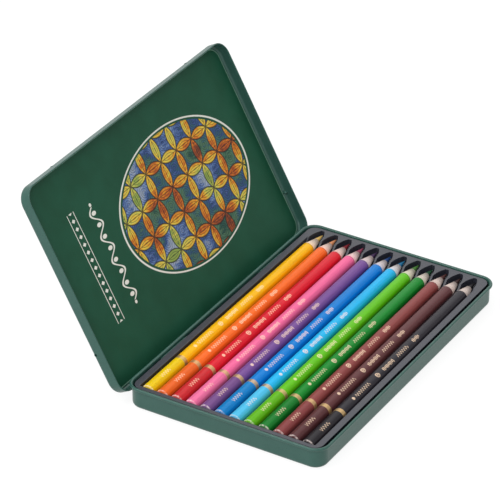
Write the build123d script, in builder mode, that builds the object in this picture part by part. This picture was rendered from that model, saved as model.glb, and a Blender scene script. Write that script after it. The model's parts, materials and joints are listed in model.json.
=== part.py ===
from build123d import *
from math import cos, radians, sin
import os

# Flat hinged tin with twelve round colored pencils in a formed plastic tray.
# Millimetres, +Z up. The origin is the centre of the base's underside. The
# pencils lie along Y with their tips toward +Y, and the hinge runs along Y on
# the -X side. The lid is modelled where it rests when it is fully open.

# ---- pencils, from the hinge side to the opening side ----
pencil_names = [
    "yellow", "orange", "red", "pink", "purple", "blue",
    "light_blue", "lime", "green", "red_brown", "dark_brown", "black",
]
pencil_length = 175.0
pencil_diameter = 7.0
sharpened_length = 15.7
blunt_end_rounding = 0.8
lead_diameter = 3.3
lead_tip_diameter = 0.4
lead_end_cover = 2.0        # wood left at the blunt end of the bore
glue_gap = 0.02             # between the lead and its bore

# ---- tray ----
tray_sheet = 0.5
trough_clearance = 0.15     # around a pencil lying in its trough
rib_width = 1.1             # between neighbouring troughs
rib_drop = 0.5              # rib tops below the pencil axes
pencil_end_gap = 0.3        # from each end of a pencil to the recess wall
pocket_length = 9.0         # arched tip end of each trough, between level ridges
pocket_end_width = 1.8
ridge_rise_length = 3.0     # slope from the rib tops up to the level ridges
ridge_hollow_length = 6.0   # hollow under each ridge, from the end wall
side_ledge = 0.75           # from the outer troughs to the recess side walls
side_flange_width = 3.6
blunt_flange_width = 2.6
tip_flange_width = 1.9
pencil_sink = 2.55          # pencil axes below the flange's top
flange_corner_radius = 5.0
side_lip = 1.0              # flange past the skirt, beside the hinge tabs
end_lip = 0.55
recess_corner_radius = 0.7
recess_edge_rounding = 0.35
flange_edge_rounding = 0.2
tray_stand_gap = 0.3        # under the skirt, over the base's floor

# ---- base ----
tin_sheet = 0.3
base_height = 12.7
base_corner_radius = 7.0
base_edge_rounding = 2.2
bead_radius = 0.85          # rim rolled outward over itself
bead_roll_angle = 290.0
flange_drop = 0.65          # tray flange below the top of the bead
tray_side_gap = 1.5
tray_end_gap = 0.65

# ---- lid ----
lid_depth = 6.8
lid_corner_radius = 8.5
lid_edge_rounding = 2.0
lid_open_angle = 118.7
lid_side_clearance = 0.3    # hem to bead along the hinge and opening sides
lid_end_clearance = 0.5     # hem to bead at the two short ends
hem_gap = 0.1               # inside the folded hem
hem_height = 1.6
lid_rim_over_hinge = 1.65   # closed lid's rim above the hinge axis

# ---- hinge: two tabs of the lid in two slots of the base ----
hinge_under_bead = 2.35     # hinge axis below the bead's centre
tab_length = 22.8
tab_spacing = 96.0
tab_hook_length = 2.2
tab_hook_angle = -60.0      # below level, with the lid closed
tab_neck_reach = 0.5        # level run from the rim before the neck slopes in
tab_neck_drop = 0.1
tab_throat_out = 0.55       # last bend outside the slot, from the hinge axis
tab_throat_up = 0.8
tab_bend_radius = 0.25
slot_height = 2.4
slot_end_clearance = 0.3

# ---- lining sheet and the dimples that hold it ----
insert_thickness = 0.5
insert_edge_gap = 0.05      # to the start of the lid's edge rounding
insert_corner_radius = 7.0
dimple_radius = 0.7
dimple_reach = 2.0          # in from the lid's wall
dimple_insert_gap = 0.1
dimple_spacing = 126.0      # the two on the opening side
end_dimple_from_hinge = 22.4

# ---- worked out from the sizes above ----
pencil_radius = pencil_diameter / 2
lead_radius = lead_diameter / 2
trough_radius = pencil_radius + trough_clearance
pencil_pitch = 2 * trough_radius + rib_width
row_width = (len(pencil_names) - 1) * pencil_pitch
pencil_axes = [i * pencil_pitch - row_width / 2 for i in range(len(pencil_names))]
ridge_axes = [x + pencil_pitch / 2 for x in pencil_axes[:-1]]

recess_width = row_width + 2 * trough_radius + 2 * side_ledge
recess_length = pencil_length + 2 * pencil_end_gap
flange_width = recess_width + 2 * side_flange_width
flange_length = recess_length + blunt_flange_width + tip_flange_width
skirt_width = flange_width - 2 * side_lip
skirt_length = flange_length - 2 * end_lip

base_width = flange_width + 2 * tray_side_gap + 2 * tin_sheet
base_length = flange_length + 2 * tray_end_gap + 2 * tin_sheet

recess_blunt_y = -flange_length / 2 + blunt_flange_width
recess_tip_y = recess_blunt_y + recess_length
pencil_blunt_y = recess_blunt_y + pencil_end_gap
pencil_tip_y = pencil_blunt_y + pencil_length
shoulder_y = pencil_tip_y - sharpened_length
pocket_y = recess_tip_y - pocket_length
ridge_foot_y = pocket_y - ridge_rise_length

flange_top = base_height - flange_drop
flange_under = flange_top - tray_sheet
pencil_axis_z = flange_top - pencil_sink
rib_top = pencil_axis_z - rib_drop
rib_under = rib_top - tray_sheet
tray_bottom = tin_sheet + tray_stand_gap

bead_x = base_width / 2 - tin_sheet + bead_radius
bead_z = base_height - bead_radius
bead_overhang = bead_x + bead_radius - base_width / 2

hinge_x = -(base_width - tin_sheet) / 2
hinge_z = bead_z - hinge_under_bead
hem_thickness = 2 * tin_sheet + hem_gap
hem_radius = hem_thickness / 2
lid_side_overhang = bead_overhang + lid_side_clearance + hem_thickness
lid_end_overhang = bead_overhang + lid_end_clearance + hem_thickness
lid_width = base_width + 2 * lid_side_overhang
lid_length = base_length + 2 * lid_end_overhang
lid_panel_top = lid_rim_over_hinge + lid_depth
lid_panel_under = lid_panel_top - tin_sheet
insert_under = lid_panel_under - insert_thickness
insert_margin = lid_edge_rounding + insert_edge_gap
dimple_skin_radius = dimple_radius + tin_sheet
dimple_height = insert_under - dimple_insert_gap - dimple_skin_radius

# The lid's own plane: its origin is on the hinge axis, x runs along the lid
# from the hinge to the opening side, and z points out of the lid's outer face.
lid_plane = Plane(
    origin=(hinge_x, 0, hinge_z),
    x_dir=(cos(radians(lid_open_angle)), 0, sin(radians(lid_open_angle))),
    z_dir=(-sin(radians(lid_open_angle)), 0, cos(radians(lid_open_angle))),
)
lid_section = Plane(origin=lid_plane.origin, x_dir=lid_plane.x_dir, z_dir=-lid_plane.y_dir)
lid_centre_x = -hinge_x
lid_rear_x = lid_centre_x - lid_width / 2
lid_front_x = lid_centre_x + lid_width / 2

os.makedirs("parts", exist_ok=True)


def save(piece, name):
    """Label a finished piece and write its STEP file."""
    piece.label = name
    export_step(piece, f"parts/{name}.step")


def wall_loop(width, length, radius, centre_x=0.0):
    """Closed rounded rectangle that starts halfway along its +X side."""
    high_x = centre_x + width / 2
    low_x = centre_x - width / 2
    corners = [
        (high_x, length / 2), (low_x, length / 2),
        (low_x, -length / 2), (high_x, -length / 2),
    ]
    return FilletPolyline((high_x, 0), *corners, (high_x, 0), radius=[0] + [radius] * len(corners))


def pressed_form(radius, reach):
    """Round-nosed form that is pressed in along -z from a wall in the plane z = 0."""
    with BuildPart() as form:
        with BuildSketch(Plane.XZ):
            with BuildLine():
                Polyline((0, 0), (radius, 0), (radius, radius - reach))
                CenterArc((0, radius - reach), radius, 0, -90)
                Line((0, -reach), (0, 0))
            make_face()
        revolve(axis=Axis.Z)
    return form.part


# ---- base: drawn shell with a rolled bead and two hinge slots ----
with BuildPart() as base_shell:
    with BuildSketch():
        RectangleRounded(base_width, base_length, base_corner_radius)
    extrude(amount=bead_z)
    fillet(base_shell.edges().group_by(Axis.Z)[0], base_edge_rounding)
    offset(amount=-tin_sheet, openings=base_shell.faces().sort_by(Axis.Z)[-1])
    with BuildLine(Plane.XY.offset(bead_z)) as rim_line:
        wall_loop(base_width, base_length, base_corner_radius)
    with BuildSketch(Plane.XZ):
        with BuildLine():
            outside = CenterArc((bead_x, bead_z), bead_radius, 180, -bead_roll_angle)
            inside = CenterArc((bead_x, bead_z), bead_radius - tin_sheet, 180, -bead_roll_angle)
            Line(outside @ 0, inside @ 0)
            Line(outside @ 1, inside @ 1)
        make_face()
    sweep(path=rim_line.line)
    with Locations((hinge_x, -tab_spacing / 2, hinge_z), (hinge_x, tab_spacing / 2, hinge_z)):
        Box(4 * tin_sheet, tab_length + 2 * slot_end_clearance, slot_height, mode=Mode.SUBTRACT)
save(base_shell.part, "base_shell")


# ---- tray: thin formed sheet with troughs, tip pockets and ridges ----
def trough_outline(grow=0.0):
    """Half outline of one trough from above, on the +X side of the pencil axis."""
    side_x = trough_radius + grow
    end_x = pocket_end_width / 2 + grow
    blunt_y = recess_blunt_y - grow
    end_y = recess_tip_y + grow
    with BuildSketch() as outline:
        with BuildLine():
            TangentArc((side_x, pocket_y), (end_x, end_y), tangent=(0, 1))
            Polyline((end_x, end_y), (0, end_y), (0, blunt_y), (side_x, blunt_y), (side_x, pocket_y))
        make_face()
    return outline.sketch


def trough_form(grow=0.0):
    """Round form of one trough, turned about the pencil axis."""
    with BuildPart() as form:
        with BuildSketch(Plane.XY.offset(pencil_axis_z)):
            add(trough_outline(grow))
        revolve(axis=Axis((0, 0, pencil_axis_z), (0, 1, 0)))
    return form.part


# Space that one pencil needs to lie in the tray and to be lifted out of it.
with BuildPart() as pencil_space:
    add(trough_form())
    with BuildSketch(Plane.XY.offset(pencil_axis_z)):
        add(trough_outline())
        mirror(about=Plane.YZ)
    extrude(amount=pencil_sink)

# Hollow under one ridge between two tip pockets, open below.
with BuildPart() as ridge_hollow:
    with BuildSketch(Plane.XY.offset(tray_bottom)):
        with Locations((0, recess_tip_y - ridge_hollow_length / 2)):
            Rectangle(pencil_pitch, ridge_hollow_length)
        with Locations((-pencil_pitch / 2, 0)):
            add(trough_outline(tray_sheet), mode=Mode.SUBTRACT)
        with Locations((pencil_pitch / 2, 0)):
            add(mirror(trough_outline(tray_sheet), about=Plane.YZ, mode=Mode.PRIVATE), mode=Mode.SUBTRACT)
    extrude(amount=flange_under - tray_bottom)

with BuildPart() as tray:
    # Undersides of the troughs, and the body between the recess walls.
    with Locations(*[(x, 0) for x in pencil_axes]):
        add(trough_form(tray_sheet))
    split(bisect_by=Plane.XY.offset(rib_under), keep=Keep.BOTTOM)
    with BuildSketch(Plane.XY.offset(rib_under)):
        with Locations((0, (recess_blunt_y + recess_tip_y) / 2)):
            Rectangle(recess_width + 2 * tray_sheet, recess_length + 2 * tray_sheet)
    extrude(amount=flange_under - rib_under)
    # Flange and skirt.
    with BuildSketch(Plane.XY.offset(flange_under)):
        RectangleRounded(flange_width, flange_length, flange_corner_radius)
    extrude(amount=tray_sheet)
    fillet(tray.edges().group_by(Axis.Z)[-1], flange_edge_rounding)
    with BuildSketch(Plane.XY.offset(tray_bottom)):
        RectangleRounded(skirt_width, skirt_length, flange_corner_radius - end_lip)
        RectangleRounded(
            skirt_width - 2 * tray_sheet,
            skirt_length - 2 * tray_sheet,
            flange_corner_radius - end_lip - tray_sheet,
            mode=Mode.SUBTRACT,
        )
    extrude(amount=flange_under - tray_bottom)
    # Recess over the rib tops, with rounded edges.
    with BuildSketch(Plane.XY.offset(rib_top)):
        with Locations((0, (recess_blunt_y + recess_tip_y) / 2)):
            RectangleRounded(recess_width, recess_length, recess_corner_radius)
    extrude(amount=flange_top - rib_top, mode=Mode.SUBTRACT)
    flange_face = tray.faces().filter_by(Axis.Z).sort_by(Axis.Z)[-1]
    fillet(flange_face.inner_wires()[0].edges(), recess_edge_rounding)
    # Slope from the rib tops up to the level ridges, let into the recess walls.
    with BuildSketch(Plane.YZ.offset(-recess_width / 2 - recess_edge_rounding)):
        with BuildLine():
            Polyline(
                (ridge_foot_y, rib_top),
                (pocket_y, flange_top),
                (recess_tip_y + recess_edge_rounding, flange_top),
                (recess_tip_y + recess_edge_rounding, rib_top),
                close=True,
            )
        make_face()
    extrude(amount=recess_width + 2 * recess_edge_rounding)
    with Locations(*[(x, 0) for x in pencil_axes]):
        add(pencil_space.part, mode=Mode.SUBTRACT)
    with Locations(*[(x, 0) for x in ridge_axes]):
        add(ridge_hollow.part, mode=Mode.SUBTRACT)
save(tray.part, "tray")


# ---- lid: drawn shell with a folded hem, dimples and two hinge tabs ----
lid_up = Axis(lid_plane.origin, lid_plane.z_dir)
dimple_places = [
    Plane(origin=lid_plane.from_local_coords((lid_front_x, side * dimple_spacing / 2, dimple_height)),
          z_dir=lid_plane.x_dir)
    for side in (-1, 1)
] + [
    Plane(origin=lid_plane.from_local_coords((end_dimple_from_hinge, side * lid_length / 2, dimple_height)),
          z_dir=lid_plane.y_dir * side)
    for side in (-1, 1)
]

with BuildPart() as lid_shell:
    with BuildSketch(lid_plane.offset(lid_rim_over_hinge + hem_radius)):
        with Locations((lid_centre_x, 0)):
            RectangleRounded(lid_width, lid_length, lid_corner_radius)
    extrude(amount=lid_depth - hem_radius)
    fillet(lid_shell.edges().group_by(lid_up)[-1], lid_edge_rounding)
    offset(amount=-tin_sheet, openings=lid_shell.faces().sort_by(lid_up)[0])
    with Locations(*dimple_places):
        add(pressed_form(dimple_skin_radius, dimple_reach))
        add(pressed_form(dimple_radius, dimple_reach - tin_sheet), mode=Mode.SUBTRACT)
    # Hem: the rim folded inward and up against the wall.
    with BuildLine(lid_plane.offset(lid_rim_over_hinge + hem_radius)) as hem_line:
        wall_loop(lid_width, lid_length, lid_corner_radius, lid_centre_x)
    with BuildSketch(lid_section):
        fold = (lid_front_x - hem_radius, lid_rim_over_hinge + hem_radius)
        with BuildLine():
            outside = CenterArc(fold, hem_radius, 0, -180)
            inside = CenterArc(fold, hem_radius - tin_sheet, 0, -180)
            Line(outside @ 0, inside @ 0)
            leg_outside = Line(outside @ 1, outside @ 1 + (0, hem_height - hem_radius))
            leg_inside = Line(inside @ 1, inside @ 1 + (0, hem_height - hem_radius))
            Line(leg_outside @ 1, leg_inside @ 1)
        make_face()
    sweep(path=hem_line.line)
    # Hinge tabs: out of the rear wall, in through the slot and down behind it.
    rear_sheet_x = lid_rear_x + tin_sheet / 2
    neck_height = lid_rim_over_hinge + tin_sheet / 2
    hook_x = tab_hook_length * cos(radians(tab_hook_angle))
    hook_z = tab_hook_length * sin(radians(tab_hook_angle))
    for tab_y in (-tab_spacing / 2, tab_spacing / 2):
        with BuildSketch(lid_section.offset(-tab_y)):
            with BuildLine():
                FilletPolyline(
                    (rear_sheet_x, neck_height + hem_height / 2),
                    (rear_sheet_x, neck_height),
                    (rear_sheet_x + tab_neck_reach, neck_height - tab_neck_drop),
                    (-tab_throat_out, tab_throat_up),
                    (0, 0),
                    (hook_x, hook_z),
                    radius=tab_bend_radius,
                )
            trace(line_width=tin_sheet)
        extrude(amount=tab_length / 2, both=True)
save(lid_shell.part, "lid_shell")


# ---- lining sheet inside the lid ----
with BuildPart() as lid_insert:
    with BuildSketch(lid_plane.offset(insert_under)):
        with Locations((lid_centre_x, 0)):
            RectangleRounded(
                lid_width - 2 * insert_margin,
                lid_length - 2 * insert_margin,
                insert_corner_radius,
            )
    extrude(amount=insert_thickness)
save(lid_insert.part, "lid_insert")


# ---- pencils: a sharpened casing and the lead inside it ----
def cone_y(radius):
    """Where the sharpened cone has this radius."""
    lead_tip_radius = lead_tip_diameter / 2
    share = (radius - lead_tip_radius) / (pencil_radius - lead_tip_radius)
    return pencil_tip_y - share * sharpened_length


lead_blunt_y = pencil_blunt_y + lead_end_cover
bore_blunt_y = lead_blunt_y - glue_gap
bore_radius = lead_radius + glue_gap
rounding_x = pencil_radius - blunt_end_rounding
rounding_y = pencil_blunt_y + blunt_end_rounding

for pencil_x, color in zip(pencil_axes, pencil_names):
    length_axis = Axis((pencil_x, 0, pencil_axis_z), (0, 1, 0))
    pencil_plane = Plane(origin=(pencil_x, 0, pencil_axis_z))

    with BuildPart() as casing:
        with BuildSketch(pencil_plane):
            with BuildLine():
                Polyline((0, bore_blunt_y), (0, pencil_blunt_y), (rounding_x, pencil_blunt_y))
                CenterArc((rounding_x, rounding_y), blunt_end_rounding, -90, 90)
                Polyline(
                    (pencil_radius, rounding_y),
                    (pencil_radius, shoulder_y),
                    (bore_radius, cone_y(bore_radius)),
                    (bore_radius, bore_blunt_y),
                    (0, bore_blunt_y),
                )
            make_face()
        revolve(axis=length_axis)
    save(casing.part, f"pencil_{color}_casing")

    with BuildPart() as lead:
        with BuildSketch(pencil_plane):
            with BuildLine():
                Polyline(
                    (0, lead_blunt_y),
                    (lead_radius, lead_blunt_y),
                    (lead_radius, cone_y(lead_radius)),
                    (lead_tip_diameter / 2, pencil_tip_y),
                    (0, pencil_tip_y),
                    close=True,
                )
            make_face()
        revolve(axis=length_axis)
    save(lead.part, f"pencil_{color}_lead")
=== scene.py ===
import json
from math import cos, pi, radians, sin

import bmesh
import bpy
from mathutils import Matrix, Vector


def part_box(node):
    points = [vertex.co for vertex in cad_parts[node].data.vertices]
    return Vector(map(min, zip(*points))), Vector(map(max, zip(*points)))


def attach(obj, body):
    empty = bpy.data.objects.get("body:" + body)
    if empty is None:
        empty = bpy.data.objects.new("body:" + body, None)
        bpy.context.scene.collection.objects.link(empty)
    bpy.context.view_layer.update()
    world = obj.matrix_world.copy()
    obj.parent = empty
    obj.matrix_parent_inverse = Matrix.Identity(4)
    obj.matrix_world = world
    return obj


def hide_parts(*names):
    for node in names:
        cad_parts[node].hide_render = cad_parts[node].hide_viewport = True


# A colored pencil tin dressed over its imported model. The tin, its lining and its
# tray get their finishes, and each pencil is turned anew with paint, foil, bare
# wood and a lead. Blender works in metres. The sizes named here and the patterns
# of the materials are in millimetres.
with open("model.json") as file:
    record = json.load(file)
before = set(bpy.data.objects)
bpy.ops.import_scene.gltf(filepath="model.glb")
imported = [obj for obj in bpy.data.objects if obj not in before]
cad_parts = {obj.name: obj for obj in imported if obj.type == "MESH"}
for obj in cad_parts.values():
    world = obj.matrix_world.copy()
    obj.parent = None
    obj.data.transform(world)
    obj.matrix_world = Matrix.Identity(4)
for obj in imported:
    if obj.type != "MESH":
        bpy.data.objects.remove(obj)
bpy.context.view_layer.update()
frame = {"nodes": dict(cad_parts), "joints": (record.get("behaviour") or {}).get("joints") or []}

MM = 0.001
scene = bpy.context.scene
nodes = frame["nodes"]


def node_box(name):
    """Lowest and highest corners of a CAD node, in millimetres to the nearest hundredth."""
    return [[round(value / MM, 2) for value in corner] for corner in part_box(name)]


# ---------------------------------------------------------------- sizes in millimetres
# The twelve pencils are alike apart from their place, so the first one gives their sizes.
casing_low, casing_high = node_box("pencil_yellow_casing")
lead_low, lead_high = node_box("pencil_yellow_lead")
PENCIL_RADIUS = (casing_high[0] - casing_low[0]) / 2
PENCIL_AXIS_Z = (casing_high[2] + casing_low[2]) / 2
BLUNT_Y = casing_low[1]
TIP_Y = lead_high[1]
SHARPENED_LENGTH = 15.7
SHOULDER_Y = TIP_Y - SHARPENED_LENGTH
BLUNT_ROUNDING = 0.8
LEAD_RADIUS = (lead_high[0] - lead_low[0]) / 2
LEAD_TIP_RADIUS = 0.2
LEAD_FOOT_Y = 60.0           # where the turned lead starts inside its bore
BORE_RADIUS = LEAD_RADIUS + 0.02
LEAD_TIP_ROUNDING = 0.1
PAINT_THICKNESS = 0.02
SHOULDER_EASE = 0.12         # length over which the paint's edge rounds toward the cone
LAST_RING_GAP = 0.5          # from the barrel's last full ring to the shoulder
BLUNT_RING_INSET = 2.0       # from the barrel to a ring that keeps the blunt end flat
LATHE_SEGMENTS = 72

hinge = next(joint for joint in frame["joints"] if joint["name"] == "lid_hinge")
HINGE_X = hinge["pos_m"][0] / MM
HINGE_Z = hinge["pos_m"][2] / MM
LID_OPEN_ANGLE = radians(-hinge["range_deg"][0])

# Foil on the barrels. Spans are along Y, and MARK_ANGLE is the line of the marks
# around the barrel, from +X toward +Z. Covers are shares of the paint that is hidden.
BAND_SPAN = (-57.45, -54.75)
BAND_COVER = 0.85
MARK_COVER = 0.66
MARK_ANGLE = radians(72)
MARK_SOFT = 0.2
MARK_HALF_STROKE = 0.34
WAVE_SPANS = ((-76.0, -68.0), (-41.0, -27.5), (1.0, 12.0))
WAVE_PERIOD = 1.7
WAVE_SWING = 0.75
DASH_SPANS = ((-13.5, -3.0), (17.0, 23.5))
DASH_PITCH = 1.1
DASH_REACH = 1.25            # half the length of the longest dash, around the barrel
DASH_GROUP = 3.1             # period in which the dashes shorten and lengthen
DASH_TAPER = 0.4
ROSETTE_Y = -19.0
ROSETTE_RADIUS = 1.5
ROSETTE_RING = (0.5, 0.8)    # radii of a ring in it without foil
DOT_Y = -43.5
DOT_RADIUS = 0.95
PAINT_CHANGE_Y = -56.1       # the paint's shade changes behind the band

# Other marks along the pencils.
LIP_HIGHLIGHT_SPAN = (BLUNT_Y + 0.1, BLUNT_Y + 0.75)          # painted highlight in patches on the blunt rim
DARK_END_Y = SHOULDER_Y - 0.5                       # paint darker from here to the cone
BARE_Y = SHOULDER_Y + 0.1                           # end of the paint, with a ragged edge
PAINT_REFLECTION_SPAN = (SHOULDER_Y, SHOULDER_Y + 3.0)    # painted reflection of the paint's colour on the wood
LEAD_TINT_SPAN = (77.5, 81.5)                       # wood with more and more of the lead's colour, which carries painted shade

# The lining's print: places along the lid from the hinge, and along Y.
SHEET_CORNER = 7.0
EDGE_HIGHLIGHT_WIDTH = 0.5
OVAL_ALONG = 57.7
OVAL_Y = 20.7
OVAL_WIDTH = 71.0
OVAL_HEIGHT = 109.0
OVAL_RING = (1.03, 1.052)    # in shares of the oval's size
CIRCLE_PITCH = 14.6
CIRCLE_RADIUS = CIRCLE_PITCH / 2 ** 0.5
RIM_HALF_STROKE = 0.26
VEIN_HALF_STROKE = 0.2
HATCH_PITCH = 1.25
HATCH_HALF_STROKE = 0.17
PRINT_SOFT = 0.15
VINE_Y = -49.0
VINE_PITCH = 13.25
VINE_REACH = 2 * VINE_PITCH
VINE_SWING = 3.2
VINE_HALF_STROKE = 0.62
LEAF_HALF_WIDTH = 1.15
LEAF_HALF_HEIGHT = 1.75
VINE_DOT_OFFSET = 1.3
VINE_DOT_RADIUS_SQUARED = 0.9
FRIEZE_Y = -65.0
FRIEZE_REACH = 30.8
LOZENGE_PITCH = 4.4
LOZENGE_HALF_WIDTH = 1.15
LOZENGE_SLOPE = 0.8
RULE_OFFSET = 2.7
RULE_HALF_STROKE = 0.22

# Spans of noise that a colour or a roughness runs through, and a wider one that
# leaves it nearer its middle.
NOISE_SPAN = (0.35, 0.65)
WIDE_NOISE_SPAN = (0.3, 0.7)

# ---------------------------------------------------------------- colours in sRGB bytes
# Paint on the barrel, paint behind the foil band, and lead of each pencil, from
# the hinge side to the opening side. Each lead is its own colour darkened by painted shade of the pocket
# it lies in.
PENCILS = {
    "yellow": ((255, 192, 6), (240, 202, 8), (216, 180, 104)),
    "orange": ((255, 112, 34), (238, 104, 34), (208, 142, 98)),
    "red": ((224, 28, 48), (206, 42, 48), (104, 20, 32)),
    "pink": ((250, 108, 160), (244, 116, 164), (134, 56, 80)),
    "purple": ((122, 80, 152), (120, 78, 138), (50, 32, 62)),
    "blue": ((2, 128, 214), (8, 128, 198), (20, 46, 98)),
    "light_blue": ((28, 184, 242), (78, 194, 238), (32, 98, 138)),
    "lime": ((100, 196, 14), (98, 182, 14), (60, 102, 46)),
    "green": ((4, 136, 40), (8, 122, 38), (20, 58, 40)),
    "red_brown": ((142, 68, 66), (136, 64, 64), (62, 34, 32)),
    "dark_brown": ((98, 54, 56), (90, 50, 52), (48, 31, 31)),
    "black": ((44, 41, 48), (40, 37, 42), (26, 25, 28)),
}
PAINT_SHADE = (20, 18, 20)
# painted highlight on the rounded blunt rim
LIP_HIGHLIGHT = (255, 238, 232)
FOIL = (244, 212, 182)
BAND_FOIL = (190, 158, 110)
WOOD_LIGHT = (255, 240, 232)
WOOD_DARK = (250, 226, 214)
WOOD_PORE = (190, 150, 120)
TIN_GREEN = (54, 93, 84)
TIN_GREEN_DARK = (51, 90, 81)
TRAY_GREY = (50, 52, 63)
TRAY_GREY_DARK = (44, 46, 56)
LINING_GREEN = (22, 78, 56)
LINING_GREEN_DARK = (18, 72, 50)
# painted highlight along the lining sheet's edge
EDGE_HIGHLIGHT_GREEN = (120, 160, 140)
CREAM = (232, 232, 222)
LINE_INK = (30, 28, 30)
SHADOW_INK = (24, 26, 40)
WARM_INKS = (
    (0.0, (120, 62, 38)), (0.22, (196, 96, 36)), (0.42, (238, 150, 40)),
    (0.6, (246, 206, 72)), (0.8, (224, 216, 96)), (1.0, (150, 176, 84)),
)
COOL_INKS = (
    (0.0, (40, 92, 78)), (0.2, (96, 140, 104)), (0.4, (60, 110, 120)),
    (0.6, (58, 88, 152)), (0.8, (112, 146, 204)), (1.0, (176, 192, 214)),
)


# ---------------------------------------------------------------- node helpers
def linear(rgb):
    """Linear colour of sRGB bytes."""
    channels = [c / 255 for c in rgb]
    channels = [c / 12.92 if c <= 0.04045 else ((c + 0.055) / 1.055) ** 2.4 for c in channels]
    return (*channels, 1.0)


class Field:
    """A number that varies over a surface: a node output with arithmetic."""

    def __init__(self, graph, socket):
        self.graph = graph
        self.socket = socket

    def math(self, operation, *others):
        return self.graph.math(operation, self, *others)

    def __add__(self, other):
        return self.math("ADD", other)

    def __sub__(self, other):
        return self.math("SUBTRACT", other)

    def __mul__(self, other):
        return self.math("MULTIPLY", other)

    def __truediv__(self, other):
        return self.math("DIVIDE", other)

    def __abs__(self):
        return self.math("ABSOLUTE")

    def squared(self):
        return self.math("POWER", 2)

    def root(self):
        return self.math("SQRT")

    def sine(self):
        return self.math("SINE")

    def both(self, other):
        """The lower of two fields: where shares of 0 to 1 overlap."""
        return self.math("MINIMUM", other)

    def either(self, other):
        """The higher of two fields: where either of two shares lies."""
        return self.math("MAXIMUM", other)

    def inverse(self):
        """1 where a share is 0, and 0 where it is 1."""
        return self.graph.math("SUBTRACT", 1.0, self)

    def toward(self, other, share):
        """This field where the share is 0, and the other one where it is 1."""
        return self + (other - self) * share

    def repeat(self, period):
        """Distance from the nearest whole multiple of the period."""
        return self.math("PINGPONG", period / 2)

    def remap(self, low, high, to_low=0.0, to_high=1.0):
        """The span from low to high stretched over another one, and level beyond it."""
        node = self.graph.add("ShaderNodeMapRange", {
            "Value": self, "From Min": low, "From Max": high, "To Min": to_low, "To Max": to_high,
        })
        return Field(self.graph, node.outputs["Result"])

    def above(self, edge, soft=0.04):
        """1 where the field is above the edge, and 0 below it."""
        return self.remap(edge - soft / 2, edge + soft / 2)

    def below(self, edge, soft=0.04):
        """1 where the field is below the edge, and 0 above it."""
        return self.remap(edge - soft / 2, edge + soft / 2, 1.0, 0.0)

    def within(self, low, high, soft=0.04):
        """1 from low to high, and 0 outside."""
        return self.above(low, soft).both(self.below(high, soft))

    def within_any(self, spans):
        """1 inside any of several (low, high) spans."""
        inside = [self.within(low, high) for low, high in spans]
        total = inside[0]
        for share in inside[1:]:
            total = total.either(share)
        return total


def sum_of_squares(first, second):
    """Squared distance of a point from the place where both fields are 0."""
    return first.squared() + second.squared()


def distance(first, second):
    """Distance of a point from the place where both fields are 0."""
    return sum_of_squares(first, second).root()


class Graph:
    """The node tree of one material around its Principled shader."""

    def __init__(self, name):
        self.material = bpy.data.materials.new(name)
        self.material.use_nodes = True
        self.tree = self.material.node_tree
        self.shader = self.tree.nodes["Principled BSDF"]

    def feed(self, socket, value):
        """Link a field or output to a socket, or write a plain value into it."""
        if isinstance(value, Field):
            value = value.socket
        if isinstance(value, bpy.types.NodeSocket):
            self.tree.links.new(value, socket)
        else:
            socket.default_value = value

    def add(self, kind, inputs, **settings):
        """New node with its settings, and with its inputs by name or number."""
        node = self.tree.nodes.new(kind)
        for name, value in settings.items():
            setattr(node, name, value)
        for name, value in inputs.items():
            self.feed(node.inputs[name], value)
        return node

    def math(self, operation, *values):
        """Field that a math node makes of fields and plain numbers."""
        node = self.add("ShaderNodeMath", dict(enumerate(values)), operation=operation)
        return Field(self, node.outputs[0])

    def place(self):
        """Object coordinates in millimetres as three fields, and as one vector."""
        source = self.add("ShaderNodeTexCoord", {}).outputs["Object"]
        scaled = self.add("ShaderNodeVectorMath", {0: source, 1: (1 / MM,) * 3}, operation="MULTIPLY")
        split = self.add("ShaderNodeSeparateXYZ", {0: scaled.outputs[0]})
        return [Field(self, split.outputs[i]) for i in range(3)] + [scaled.outputs[0]]

    def vector(self, x, y, z):
        return self.add("ShaderNodeCombineXYZ", {0: x, 1: y, 2: z}).outputs[0]

    def noise(self, vector, size, detail=2.0, roughness=0.5):
        """Smooth noise around 0.5 whose blobs are about this many millimetres across."""
        node = self.add("ShaderNodeTexNoise", {
            "Vector": vector, "Scale": 1 / size, "Detail": detail, "Roughness": roughness,
        })
        return Field(self, node.outputs["Fac"])

    def blend(self, share, first, second):
        """First colour where the share is 0, second where it is 1, as outputs or sRGB bytes."""
        node = self.add("ShaderNodeMix", {0: share}, data_type="RGBA")
        self.feed(node.inputs[6], linear(first) if isinstance(first, tuple) else first)
        self.feed(node.inputs[7], linear(second) if isinstance(second, tuple) else second)
        return node.outputs[2]

    def ramp(self, share, stops):
        """Colour along stops of (position, sRGB bytes)."""
        node = self.add("ShaderNodeValToRGB", {0: share})
        elements = node.color_ramp.elements
        while len(elements) < len(stops):
            elements.new(0.5)
        for element, (position, rgb) in zip(elements, stops):
            element.position = position
            element.color = linear(rgb)
        return node.outputs[0]

    def bump(self, height, depth):
        """Normal for a height field of 0 to 1 that is this many millimetres deep."""
        return self.add("ShaderNodeBump", {"Height": height, "Distance": depth * MM}).outputs["Normal"]

    def set(self, **sockets):
        """Values or outputs for the Principled shader, by socket name with _ for a space."""
        for name, value in sockets.items():
            self.feed(self.shader.inputs[name.replace("_", " ")], value)
        return self.material


# ---------------------------------------------------------------- tin and tray
def tin_paint():
    """Satin green enamel with a faint orange peel."""
    graph = Graph("tin_enamel")
    *_, place = graph.place()
    cloud = graph.noise(place, size=9.0, detail=3.0)
    peel = graph.noise(place, size=0.55)
    grain = graph.noise(place, size=0.16, detail=1.0)
    return graph.set(
        Base_Color=graph.blend(cloud.remap(*NOISE_SPAN), TIN_GREEN_DARK, TIN_GREEN),
        Specular_IOR_Level=0.34,
        Roughness=(peel * 0.6 + grain * 0.4).remap(*WIDE_NOISE_SPAN, 0.26, 0.36),
        Normal=graph.bump(peel * 0.7 + grain * 0.3, depth=0.012),
    )


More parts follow.
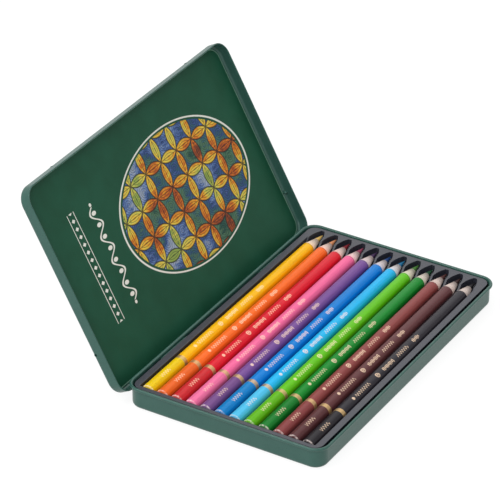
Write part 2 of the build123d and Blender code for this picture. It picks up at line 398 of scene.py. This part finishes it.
def tray_plastic():
    """Vacuum-formed dark grey sheet, semi-gloss with a fine grain."""
    graph = Graph("formed_sheet")
    *_, place = graph.place()
    cloud = graph.noise(place, size=6.0, detail=3.0)
    stretch = graph.noise(place, size=1.8)
    grain = graph.noise(place, size=0.12)
    return graph.set(
        Base_Color=graph.blend(cloud.remap(*NOISE_SPAN), TRAY_GREY_DARK, TRAY_GREY),
        Specular_IOR_Level=0.52,
        Roughness=(grain * 0.5 + cloud * 0.5).remap(*NOISE_SPAN, 0.34, 0.46),
        Normal=graph.bump(stretch * 0.8 + grain * 0.2, depth=0.03),
    )


# ---------------------------------------------------------------- the lid's lining
def lid_along(x, z):
    """Distance along the open lid from the hinge, of a point in millimetres."""
    return (x - HINGE_X) * cos(LID_OPEN_ANGLE) + (z - HINGE_Z) * sin(LID_OPEN_ANGLE)


def mosaic(graph, along, y):
    """Colour of a field of overlapping circles with fine engraved lines."""
    across = (along - OVAL_ALONG).repeat(CIRCLE_PITCH)
    up = (y - OVAL_Y).repeat(CIRCLE_PITCH)
    to_own = distance(across, up)
    to_next = distance(across - CIRCLE_PITCH, up).both(distance(across, up - CIRCLE_PITCH))
    petal = to_next.below(CIRCLE_RADIUS)
    outside = to_next.above(CIRCLE_RADIUS)

    rim = abs(to_next - CIRCLE_RADIUS).below(RIM_HALF_STROKE)
    vein = abs(across - CIRCLE_PITCH / 2).both(abs(up - CIRCLE_PITCH / 2)).below(VEIN_HALF_STROKE)
    petal_hatch = to_next.repeat(HATCH_PITCH).below(HATCH_HALF_STROKE).both(petal)
    outer_hatch = to_own.repeat(HATCH_PITCH).below(HATCH_HALF_STROKE).both(outside)
    lines = (petal_hatch.either(outer_hatch) * 0.6).either(rim * 0.9).either(vein * 0.8)

    drift = graph.noise(graph.vector(along, y, 0.0), size=26.0, detail=1.0)
    dab = graph.noise(graph.vector(along, y * 0.35, 0.0), size=1.5, detail=4.0, roughness=0.65)
    tone = (drift * 0.72 + dab * 0.28).remap(0.36, 0.64)
    ink = graph.blend(petal, graph.ramp(tone, COOL_INKS), graph.ramp(tone, WARM_INKS))
    ink = graph.blend(to_own.remap(0.0, CIRCLE_RADIUS, 0.4, 0.0), ink, SHADOW_INK)
    return graph.blend(lines, ink, LINE_INK)


def vine(along, y):
    """1 on a waving stem with a leaf in each bow and a dot at either end."""
    run = along - OVAL_ALONG
    rise = y - VINE_Y
    swing = (run * (2 * pi / VINE_PITCH)).sine() * VINE_SWING
    stem = abs(rise - swing).below(VINE_HALF_STROKE, PRINT_SOFT)
    to_leaf = (run - VINE_PITCH / 4).repeat(VINE_PITCH / 2)
    leaf = sum_of_squares(to_leaf / LEAF_HALF_WIDTH, rise / LEAF_HALF_HEIGHT).below(1.0, 0.2)
    end_dot = sum_of_squares(abs(run) - VINE_REACH - VINE_DOT_OFFSET, rise)
    end_dot = end_dot.below(VINE_DOT_RADIUS_SQUARED, 0.3)
    return stem.either(leaf).both(abs(run).below(VINE_REACH, PRINT_SOFT)).either(end_dot)


def frieze(along, y):
    """1 on a row of small diamonds between two rules."""
    run = along - OVAL_ALONG
    off = abs(y - FRIEZE_Y)
    lozenge = (run.repeat(LOZENGE_PITCH) + off * LOZENGE_SLOPE).below(LOZENGE_HALF_WIDTH, PRINT_SOFT)
    rule = abs(off - RULE_OFFSET).below(RULE_HALF_STROKE, 0.1)
    return lozenge.either(rule).both(abs(run).below(FRIEZE_REACH, 0.12))


def edge_highlight(along, y):
    """1 along a thin rim at the sheet's edge, a rectangle with round corners, where a painted highlight
    goes.
    """
    outline = [vertex.co / MM for vertex in nodes["lid_insert"].data.vertices]
    reach = [lid_along(point.x, point.z) for point in outline]
    middle = (max(reach) + min(reach)) / 2
    straight_along = (max(reach) - min(reach)) / 2 - SHEET_CORNER
    straight_y = max(point.y for point in outline) - SHEET_CORNER
    past_along = (abs(along - middle) - straight_along).either(0.0)
    past_y = (abs(y) - straight_y).either(0.0)
    return distance(past_along, past_y).above(SHEET_CORNER - EDGE_HIGHLIGHT_WIDTH, PRINT_SOFT)


def lining_print():
    """Matt green print with a mosaic medallion and a border ornament."""
    graph = Graph("lining_print")
    x, y, z, place = graph.place()
    along = lid_along(x, z)
    oval = distance((along - OVAL_ALONG) / OVAL_WIDTH * 2, (y - OVAL_Y) / OVAL_HEIGHT * 2)
    medallion = oval.below(1.0, 0.006)
    ornament = vine(along, y).either(frieze(along, y)).either(oval.within(*OVAL_RING, 0.008))

    cloud = graph.noise(place, size=14.0)
    screen = graph.noise(place, size=0.22)
    colour = graph.blend(cloud.remap(*NOISE_SPAN), LINING_GREEN_DARK, LINING_GREEN)
    colour = graph.blend(medallion, colour, mosaic(graph, along, y))
    colour = graph.blend(ornament, colour, CREAM)
    # painted highlight along the sheet's edge
    colour = graph.blend(edge_highlight(along, y), colour, EDGE_HIGHLIGHT_GREEN)
    return graph.set(
        Base_Color=colour,
        Roughness=screen.remap(*NOISE_SPAN, 0.5, 0.62),
        Specular_IOR_Level=0.18,
        Normal=graph.bump(screen * 0.4 + medallion * 0.6, depth=0.02),
    )


# ---------------------------------------------------------------- pencil finishes
def foil_marks(y, around):
    """1 on the ornaments in a line along the barrel: waves, dashes, a rosette and a dot."""
    wave = abs(around - (y * (2 * pi / WAVE_PERIOD)).sine() * WAVE_SWING)
    wave = wave.below(MARK_HALF_STROKE, MARK_SOFT).both(y.within_any(WAVE_SPANS))
    dash = y.repeat(DASH_PITCH).below(MARK_HALF_STROKE, MARK_SOFT)
    dash_end = (abs(around) + y.repeat(DASH_GROUP) * DASH_TAPER).below(DASH_REACH, MARK_SOFT)
    dash = dash.both(dash_end).both(y.within_any(DASH_SPANS))
    to_rosette = distance(around, y - ROSETTE_Y)
    rosette = to_rosette.below(ROSETTE_RADIUS, MARK_SOFT).both(to_rosette.within(*ROSETTE_RING).inverse())
    dot = distance(around, y - DOT_Y).below(DOT_RADIUS, MARK_SOFT)
    return wave.either(dash).either(rosette).either(dot)


def barrel_paint(graph, y, place, streak, main, tail):
    """Even paint with faint streaks, darker at the cone, with a painted highlight in patches at the blunt
    rim.
    """
    highlight_patches = graph.noise(place, size=1.6)
    # painted highlight in patches on the blunt rim
    lip_highlight = y.within(*LIP_HIGHLIGHT_SPAN, 0.3) * highlight_patches.remap(0.4, 0.62, 0.1, 0.6)
    paint = graph.blend(y.below(PAINT_CHANGE_Y, 0.1), main, tail)
    paint = graph.blend(streak.remap(*NOISE_SPAN, 0.0, 0.1), paint, PAINT_SHADE)
    paint = graph.blend(y.above(DARK_END_Y, 0.5) * 0.35, paint, PAINT_SHADE)
    return graph.blend(lip_highlight, paint, LIP_HIGHLIGHT)


def cone_wood(graph, y, grain, pore, main, lead):
    """Pale wood with pores, a painted reflection of the paint's colour that is strongest at the shoulder,
    and more and more of the lead's colour, darkened by painted shade, near the tip.
    """
    wood = graph.blend(grain.remap(0.32, 0.68), WOOD_LIGHT, WOOD_DARK)
    wood = graph.blend(pore.above(0.66, 0.08) * 0.3, wood, WOOD_PORE)
    # painted reflection of the paint's colour on the wood
    wood = graph.blend(y.remap(*PAINT_REFLECTION_SPAN, 0.4, 0.16), wood, main)
    # more and more of the lead's colour, with its painted shade, toward the tip
    return graph.blend(y.remap(*LEAD_TINT_SPAN, 0.0, 0.2), wood, lead)


def pencil_finish(name, axis_x):
    """Glossy barrel paint, copper foil marks and band, and bare wood on the cone."""
    main, tail, lead = PENCILS[name]
    graph = Graph(f"barrel_{name}")
    x, y, z, place = graph.place()
    side = x - axis_x
    up = z - PENCIL_AXIS_Z
    around = (up.math("ARCTAN2", side) - MARK_ANGLE) * PENCIL_RADIUS

    streak = graph.noise(graph.vector(side, y * 0.03, up), size=0.7)
    speck = graph.noise(place, size=0.1, detail=1.0)
    grain = graph.noise(graph.vector(side, y * 0.06, up), size=0.3, detail=3.0, roughness=0.6)
    pore = graph.noise(graph.vector(side, y * 0.12, up), size=0.11)
    sharpener_ring = graph.noise(graph.vector(0.0, y, 0.0), size=0.16)
    worn = graph.noise(place, size=0.25)
    cut = graph.noise(place, size=0.9)

    band = y.within(*BAND_SPAN)
    foil = (band * BAND_COVER).either(foil_marks(y, around) * worn.above(0.34, 0.2) * MARK_COVER)
    bare = (y + (cut - 0.5) * 0.5).above(BARE_Y, 0.05)
    paint = barrel_paint(graph, y, place, streak, main, tail)
    coated = graph.blend(foil, paint, graph.blend(band, FOIL, BAND_FOIL))
    coat_relief = streak * 0.3 + speck * 0.1 + foil * 0.5
    wood_relief = grain * 0.5 + sharpener_ring * 0.5
    return graph.set(
        Base_Color=graph.blend(bare, coated, cone_wood(graph, y, grain, pore, main, lead)),
        Metallic=foil.both(bare.inverse()) * 0.6,
        Specular_IOR_Level=0.15,
        Roughness=(speck.remap(*WIDE_NOISE_SPAN, 0.2, 0.28) + foil * 0.08).either(bare * 0.72),
        Normal=graph.bump(coat_relief.toward(wood_relief, bare), depth=0.03),
    )


def lead_wax(name):
    """Waxy lead with fine turning marks, its colour darkened by painted shade."""
    main, _, lead = PENCILS[name]
    graph = Graph(f"core_{name}")
    _, y, _, place = graph.place()
    ring = graph.noise(graph.vector(0.0, y, 0.0), size=0.14)
    speck = graph.noise(place, size=0.12)
    return graph.set(
        # the lead colour is darkened by painted shade
        Base_Color=graph.blend(speck.remap(*WIDE_NOISE_SPAN, 0.0, 0.16), lead, main),
        Specular_IOR_Level=0.15,
        Roughness=speck.remap(*WIDE_NOISE_SPAN, 0.42, 0.6),
        Normal=graph.bump(ring * 0.6 + speck * 0.4, depth=0.02),
    )


def dress(piece, material):
    """Give a piece this material alone."""
    piece.data.materials.clear()
    piece.data.materials.append(material)


# ---------------------------------------------------------------- pencil meshes
def lathe(name, profile, axis_x):
    """Surface turned about a pencil's axis from (radius, y) pairs in millimetres.
    A pair with radius 0 at either end closes it in one point."""
    mesh = bmesh.new()
    rings = []
    for radius, y in profile:
        turns = [2 * pi * i / LATHE_SEGMENTS for i in range(LATHE_SEGMENTS if radius else 1)]
        rings.append([
            mesh.verts.new((
                (axis_x + radius * cos(turn)) * MM,
                y * MM,
                (PENCIL_AXIS_Z + radius * sin(turn)) * MM,
            ))
            for turn in turns
        ])
    for first, second in zip(rings, rings[1:]):
        for i in range(LATHE_SEGMENTS):
            j = (i + 1) % LATHE_SEGMENTS
            corners = [
                first[i % len(first)], first[j % len(first)],
                second[j % len(second)], second[i % len(second)],
            ]
            mesh.faces.new(list(dict.fromkeys(corners)))
    bmesh.ops.recalc_face_normals(mesh, faces=mesh.faces)
    data = bpy.data.meshes.new(name)
    mesh.to_mesh(data)
    mesh.free()
    data.polygons.foreach_set("use_smooth", [True] * len(data.polygons))
    piece = bpy.data.objects.new(name, data)
    scene.collection.objects.link(piece)
    return piece


def cone_y(radius):
    """Where the sharpened cone has this radius."""
    share = (radius - LEAD_TIP_RADIUS) / (PENCIL_RADIUS - LEAD_TIP_RADIUS)
    return TIP_Y - share * SHARPENED_LENGTH


def on_cone(radius):
    """Point of a profile on the sharpened cone."""
    return radius, cone_y(radius)


def casing_profile():
    """From the middle of the blunt end over the barrel and the cone into the bore."""
    turns = [radians(angle) for angle in range(0, 91, 15)]
    blunt_edge = [
        (PENCIL_RADIUS - BLUNT_ROUNDING * (1 - sin(turn)), BLUNT_Y + BLUNT_ROUNDING * (1 - cos(turn)))
        for turn in turns
    ]
    shoulder = [
        (PENCIL_RADIUS, SHOULDER_Y - LAST_RING_GAP),
        (PENCIL_RADIUS - 0.2 * PAINT_THICKNESS, SHOULDER_Y - SHOULDER_EASE),
        (PENCIL_RADIUS - PAINT_THICKNESS, SHOULDER_Y),
        on_cone(PENCIL_RADIUS - 2.5 * PAINT_THICKNESS),
    ]
    flat_end = [(0, BLUNT_Y), (PENCIL_RADIUS - BLUNT_RING_INSET, BLUNT_Y)]
    return flat_end + blunt_edge + shoulder + [on_cone(BORE_RADIUS), (BORE_RADIUS, LEAD_FOOT_Y)]


def lead_profile():
    """From inside the bore over the cone to a slightly rounded tip."""
    return [
        (0, LEAD_FOOT_Y),
        (LEAD_RADIUS, LEAD_FOOT_Y),
        on_cone(LEAD_RADIUS),
        on_cone(LEAD_TIP_RADIUS + 0.6 * LEAD_TIP_ROUNDING),
        (LEAD_TIP_RADIUS - 0.3 * LEAD_TIP_ROUNDING, TIP_Y - 0.5 * LEAD_TIP_ROUNDING),
        (LEAD_TIP_RADIUS - LEAD_TIP_ROUNDING, TIP_Y),
        (0, TIP_Y),
    ]


def make_pencil(name):
    """Turned casing and lead in place of the two CAD solids, on their axis."""
    low, high = node_box(f"pencil_{name}_casing")
    axis_x = (low[0] + high[0]) / 2
    casing = lathe(f"barrel_{name}", casing_profile(), axis_x)
    lead = lathe(f"core_{name}", lead_profile(), axis_x)
    dress(casing, pencil_finish(name, axis_x))
    dress(lead, lead_wax(name))
    for piece, node, slot in (
        (casing, f"pencil_{name}_casing", f"paint_{name}"),
        (lead, f"pencil_{name}_lead", f"lead_{name}"),
    ):
        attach(piece, f"pencil_{name}")
        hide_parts(node)


# ---------------------------------------------------------------- camera, floor and light
VIEW_AZIMUTH = radians(31.05)
VIEW_ELEVATION = radians(31.6)
VIEW_DISTANCE = 1722.9 * MM
VIEW_RIGHT = -33.36 * MM     # where the view's centre line passes the origin, to the right
VIEW_UP = 52.25 * MM         # and upward
FOCAL_PIXELS = 3352.8        # focal length of the photograph, in its own pixels
IMAGE_PIXELS = 500
SENSOR_WIDTH = 36.0          # of Blender's camera, in millimetres
CLIP_NEAR = 0.05             # metres
CLIP_FAR = 50.0

AMBIENT = 0.6                # strength of the world's light on the object
FLOOR_HALF_WIDTH = 4.0       # metres
FLOOR_GREY = (0.8, 0.8, 0.8, 1)     # what lights the object from below
SHADOW_GREY = (0.2, 0.2, 0.2, 1)    # the share of the seen floor that takes shadows
FLOOR_GLOW = 0.86            # the rest of the seen floor, up to white
WHITE = (1, 1, 1, 1)

LAMP_TARGET = Vector((0, 0, 0.02))  # metres
# Each lamp's place and width in metres, and its power in watts.
LAMPS = {
    "key": ((-0.42, -0.5, 0.78), 0.42, 2.3),
    "front": ((0.15, -0.85, 0.6), 0.5, 2.9),
    "back": ((-0.1, 0.75, 0.9), 1.0, 3.0),
    "sparkle": ((-0.35, -0.12, 0.9), 0.1, 0.7),
}


def view_axes():
    """Right, up and back directions of the camera."""
    right = Vector((cos(VIEW_AZIMUTH), sin(VIEW_AZIMUTH), 0))
    back = Vector((
        sin(VIEW_AZIMUTH) * cos(VIEW_ELEVATION),
        -cos(VIEW_AZIMUTH) * cos(VIEW_ELEVATION),
        sin(VIEW_ELEVATION),
    ))
    return right, back.cross(right), back


def make_camera():
    """Camera that stands where the photograph was taken from."""
    right, up, back = view_axes()
    data = bpy.data.cameras.new("camera")
    data.sensor_width = SENSOR_WIDTH
    data.lens = FOCAL_PIXELS / IMAGE_PIXELS * SENSOR_WIDTH
    data.clip_start = CLIP_NEAR
    data.clip_end = CLIP_FAR
    camera = bpy.data.objects.new("camera", data)
    scene.collection.objects.link(camera)
    turn = Matrix((right, up, back)).transposed()
    place = back * VIEW_DISTANCE + right * VIEW_RIGHT + up * VIEW_UP
    camera.matrix_world = Matrix.Translation(place) @ turn.to_4x4()
    scene.camera = camera


def seen_ray(tree):
    """1 for camera, glossy and transmission rays, which see the white backdrop."""
    path = tree.nodes.new("ShaderNodeLightPath")
    share = path.outputs["Is Camera Ray"]
    for name in ("Is Glossy Ray", "Is Transmission Ray"):
        either = tree.nodes.new("ShaderNodeMath")
        either.operation = "MAXIMUM"
        tree.links.new(share, either.inputs[0])
        tree.links.new(path.outputs[name], either.inputs[1])
        share = either.outputs[0]
    return share


def split_by_ray(tree, unseen, seen, output):
    """Send one shader to the rays that only carry light and another to those that see."""
    mix = tree.nodes.new("ShaderNodeMixShader")
    tree.links.new(seen_ray(tree), mix.inputs[0])
    tree.links.new(unseen.outputs[0], mix.inputs[1])
    tree.links.new(seen.outputs[0], mix.inputs[2])
    tree.links.new(mix.outputs[0], output.inputs[0])


def make_world():
    """Even ambient light behind a white backdrop."""
    world = bpy.data.worlds.new("studio")
    scene.world = world
    world.use_nodes = True
    tree = world.node_tree
    ambient = tree.nodes["Background"]
    ambient.inputs["Color"].default_value = WHITE
    ambient.inputs["Strength"].default_value = AMBIENT
    backdrop = tree.nodes.new("ShaderNodeBackground")
    backdrop.inputs["Color"].default_value = WHITE
    backdrop.inputs["Strength"].default_value = 1.0
    split_by_ray(tree, ambient, backdrop, tree.nodes["World Output"])


def make_floor():
    """Pale floor that reads white and keeps the object's soft shadow."""
    reach = FLOOR_HALF_WIDTH
    corners = [(-reach, -reach, 0), (reach, -reach, 0), (reach, reach, 0), (-reach, reach, 0)]
    data = bpy.data.meshes.new("floor")
    data.from_pydata(corners, [], [(0, 1, 2, 3)])
    floor = bpy.data.objects.new("floor", data)
    scene.collection.objects.link(floor)
    material = bpy.data.materials.new("floor_paper")
    material.use_nodes = True
    tree = material.node_tree
    tree.nodes.remove(tree.nodes["Principled BSDF"])
    plain = tree.nodes.new("ShaderNodeBsdfDiffuse")
    plain.inputs["Color"].default_value = FLOOR_GREY
    shade = tree.nodes.new("ShaderNodeBsdfDiffuse")
    shade.inputs["Color"].default_value = SHADOW_GREY
    glow = tree.nodes.new("ShaderNodeEmission")
    glow.inputs["Color"].default_value = WHITE
    glow.inputs["Strength"].default_value = FLOOR_GLOW
    lifted = tree.nodes.new("ShaderNodeAddShader")
    tree.links.new(shade.outputs[0], lifted.inputs[0])
    tree.links.new(glow.outputs[0], lifted.inputs[1])
    split_by_ray(tree, plain, lifted, tree.nodes["Material Output"])
    data.materials.append(material)


def make_lamp(name, place, width, watts):
    """Square area lamp that faces the middle of the tin."""
    data = bpy.data.lights.new(name, "AREA")
    data.shape = "SQUARE"
    data.size = width
    data.energy = watts
    lamp = bpy.data.objects.new(name, data)
    scene.collection.objects.link(lamp)
    lamp.location = place
    lamp.rotation_euler = (LAMP_TARGET - Vector(place)).to_track_quat("-Z", "Y").to_euler()


# ---------------------------------------------------------------- the scene
make_camera()
scene.view_settings.view_transform = "Standard"
make_world()
make_floor()
for lamp_name, (lamp_place, lamp_width, lamp_watts) in LAMPS.items():
    make_lamp(lamp_name, lamp_place, lamp_width, lamp_watts)

enamel = tin_paint()
dress(nodes["base_shell"], enamel)
dress(nodes["lid_shell"], enamel)
dress(nodes["lid_insert"], lining_print())
dress(nodes["tray"], tray_plastic())
for pencil_name in PENCILS:
    make_pencil(pencil_name)
